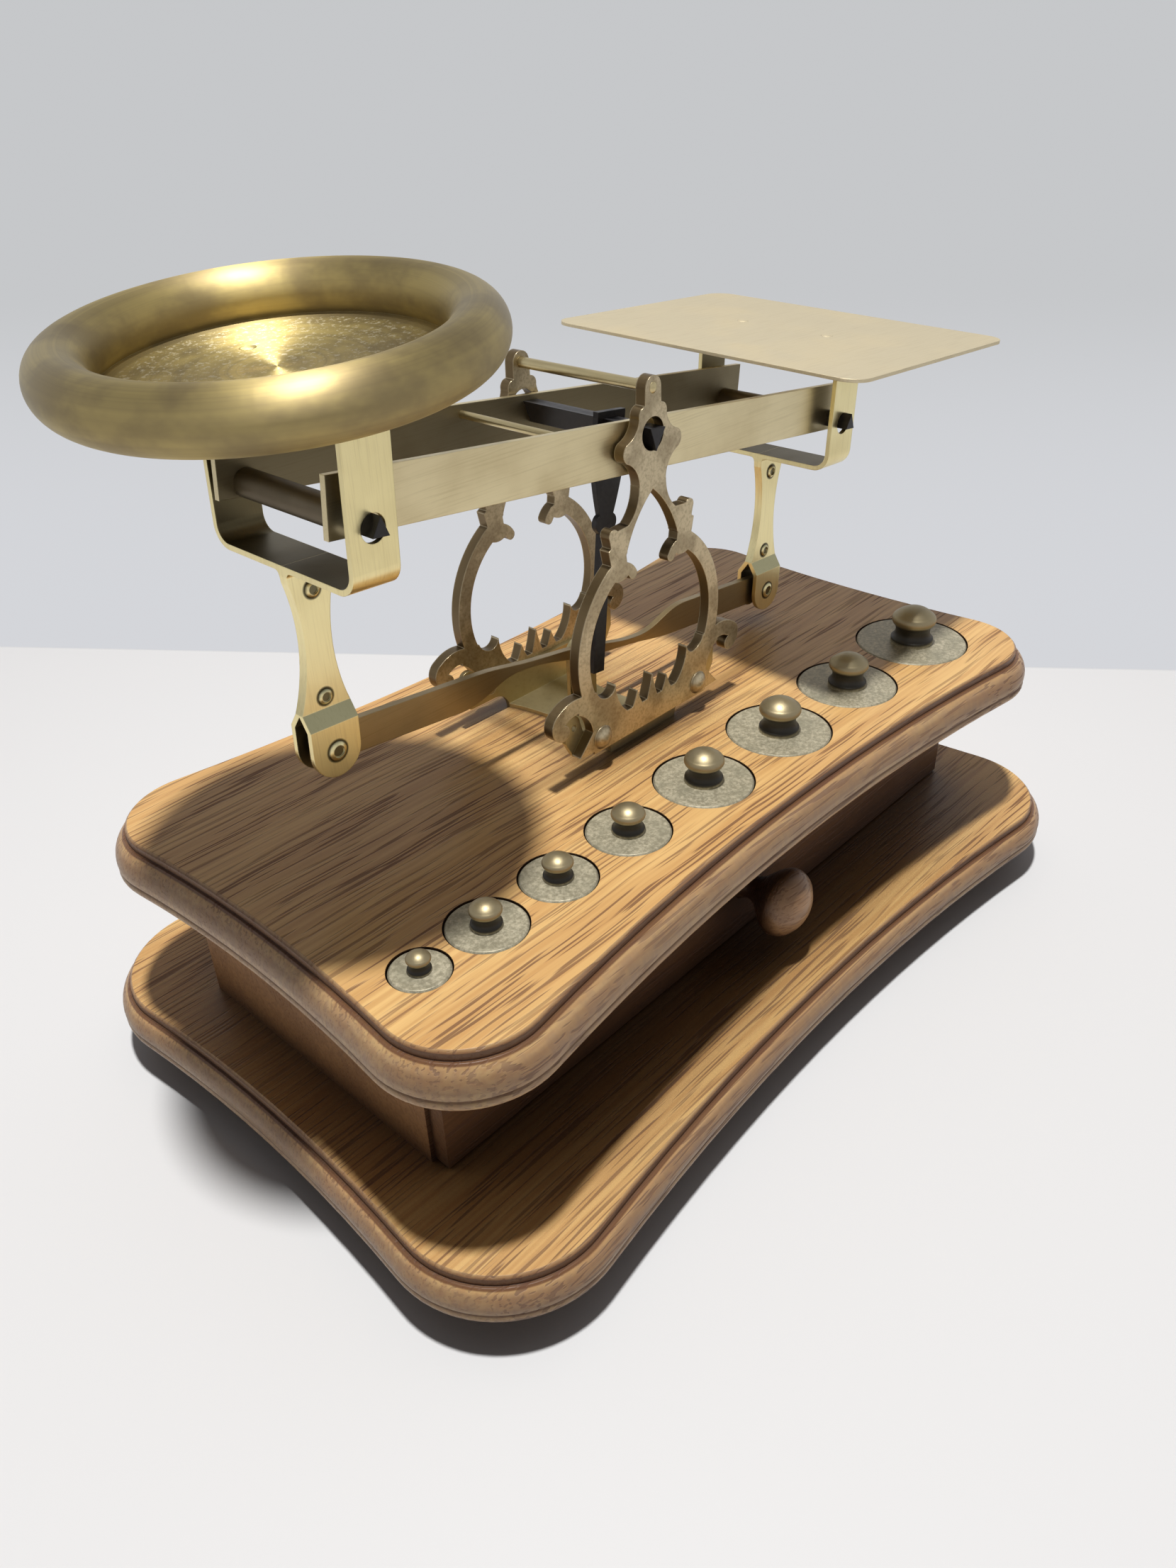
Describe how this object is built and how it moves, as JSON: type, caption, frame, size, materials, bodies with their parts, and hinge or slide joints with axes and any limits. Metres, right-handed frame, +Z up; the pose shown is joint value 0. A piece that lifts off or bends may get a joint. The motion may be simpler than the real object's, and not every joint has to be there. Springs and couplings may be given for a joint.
{
  "type": "letter balance",
  "caption": "Letter balance: a beam on knife edges in scroll-cut frames carries a round pan and an oblong plate above a moulded wooden base with a drawer and recessed weights.",
  "frame": {"origin": "Middle of the plinth's underside, on the surface the balance stands on.", "axes": "+Z up, +X along the beam from the round pan to the oblong plate, -Y towards the drawer's front and the row of weights."},
  "size_m": [0.248, 0.1586, 0.1841],
  "materials": {
    "oak_top": "satin varnish",
    "oak_base": "satin varnish",
    "oak_box": "satin varnish",
    "drawer_oak": "gloss varnish",
    "plain_wood": "bare",
    "knob_brass": "aged satin",
    "cast_brass": "aged cast",
    "plate_brass": "dull",
    "strip_brass": "brushed",
    "black_steel": "blackened",
    "strap_brass": "satin",
    "pan_brass": "satin",
    "stay_brass": "dark satin",
    "weight_brass": "aged turned"
  },
  "bodies": {
    "base": {"plinth": "oak_base", "bottom_board": "oak_base", "box_left_side": "oak_box", "box_right_side": "oak_box", "box_back": "oak_box", "drawer_guide_left": "plain_wood", "drawer_guide_right": "plain_wood", "top_board": "oak_top", "base_plate": "plate_brass", "front_frame": "cast_brass", "rear_frame": "cast_brass", "front_left_rivet": "cast_brass", "front_right_rivet": "cast_brass", "rear_left_rivet": "cast_brass", "rear_right_rivet": "cast_brass", "tie_rod": "cast_brass", "stay_bracket": "plate_brass", "stay_pin": "plate_brass"},
    "drawer": {"drawer_front": "drawer_oak", "drawer_left_side": "plain_wood", "drawer_right_side": "plain_wood", "drawer_back": "plain_wood", "drawer_bottom": "plain_wood", "drawer_knob": "knob_brass"},
    "beam": {"beam_strip_front": "strip_brass", "beam_strip_rear": "strip_brass", "centre_knife": "black_steel", "left_knife": "black_steel", "right_knife": "black_steel", "left_end_bar": "strip_brass", "right_end_bar": "strip_brass", "beam_rod": "strip_brass", "pointer": "black_steel"},
    "left_stirrup": {"left_strap_front": "strap_brass", "left_strap_rear": "strap_brass", "left_upper_rivet": "strap_brass", "left_lower_rivet": "strap_brass", "left_clevis_pin": "strap_brass", "left_foot_rivet_front": "strap_brass", "left_foot_rivet_rear": "strap_brass", "round_pan": "pan_brass"},
    "right_stirrup": {"right_strap_front": "strap_brass", "right_strap_rear": "strap_brass", "right_upper_rivet": "strap_brass", "right_lower_rivet": "strap_brass", "right_clevis_pin": "strap_brass", "right_foot_rivet_front": "strap_brass", "right_foot_rivet_rear": "strap_brass", "oblong_plate": "pan_brass"},
    "lower_stay": {"lower_stay": "stay_brass"},
    "weight_1": {"weight_1": "weight_brass"},
    "weight_2": {"weight_2": "weight_brass"},
    "weight_3": {"weight_3": "weight_brass"},
    "weight_4": {"weight_4": "weight_brass"},
    "weight_5": {"weight_5": "weight_brass"},
    "weight_6": {"weight_6": "weight_brass"},
    "weight_7": {"weight_7": "weight_brass"},
    "weight_8": {"weight_8": "weight_brass"}
  },
  "joints": [
    {"name": "drawer_slide", "type": "slide", "parent": "base", "child": "drawer", "axis": [0, -1, 0], "range_m": [0, 0.056]},
    {"name": "beam_rock", "type": "hinge", "parent": "base", "child": "beam", "pos_m": [-0.0023, 0.008, 0.14195], "axis": [0, 1, 0], "range_deg": [-11.58, 0]},
    {"name": "left_stirrup_swing", "type": "hinge", "parent": "beam", "child": "left_stirrup", "pos_m": [-0.08043, 0.008, 0.14957], "axis": [0, 1, 0], "range_deg": [0, 11.58]},
    {"name": "right_stirrup_swing", "type": "hinge", "parent": "beam", "child": "right_stirrup", "pos_m": [0.07577, 0.008, 0.13373], "axis": [0, 1, 0], "range_deg": [0, 11.58]},
    {"name": "stay_rock", "type": "hinge", "parent": "base", "child": "lower_stay", "pos_m": [-0.00498, 0.008, 0.08712], "axis": [0, 1, 0], "range_deg": [-11.58, 0]},
    {"name": "weight_1_lift", "type": "slide", "parent": "base", "child": "weight_1", "axis": [0, 0, 1], "range_m": [0, 0.04]},
    {"name": "weight_2_lift", "type": "slide", "parent": "base", "child": "weight_2", "axis": [0, 0, 1], "range_m": [0, 0.04]},
    {"name": "weight_3_lift", "type": "slide", "parent": "base", "child": "weight_3", "axis": [0, 0, 1], "range_m": [0, 0.04]},
    {"name": "weight_4_lift", "type": "slide", "parent": "base", "child": "weight_4", "axis": [0, 0, 1], "range_m": [0, 0.04]},
    {"name": "weight_5_lift", "type": "slide", "parent": "base", "child": "weight_5", "axis": [0, 0, 1], "range_m": [0, 0.04]},
    {"name": "weight_6_lift", "type": "slide", "parent": "base", "child": "weight_6", "axis": [0, 0, 1], "range_m": [0, 0.04]},
    {"name": "weight_7_lift", "type": "slide", "parent": "base", "child": "weight_7", "axis": [0, 0, 1], "range_m": [0, 0.04]},
    {"name": "weight_8_lift", "type": "slide", "parent": "base", "child": "weight_8", "axis": [0, 0, 1], "range_m": [0, 0.04]}
  ],
  "couplings": [
    {"joint": "left_stirrup_swing", "follows": "beam_rock", "ratio": -1},
    {"joint": "right_stirrup_swing", "follows": "beam_rock", "ratio": -1},
    {"joint": "stay_rock", "follows": "beam_rock", "ratio": 1}
  ]
}
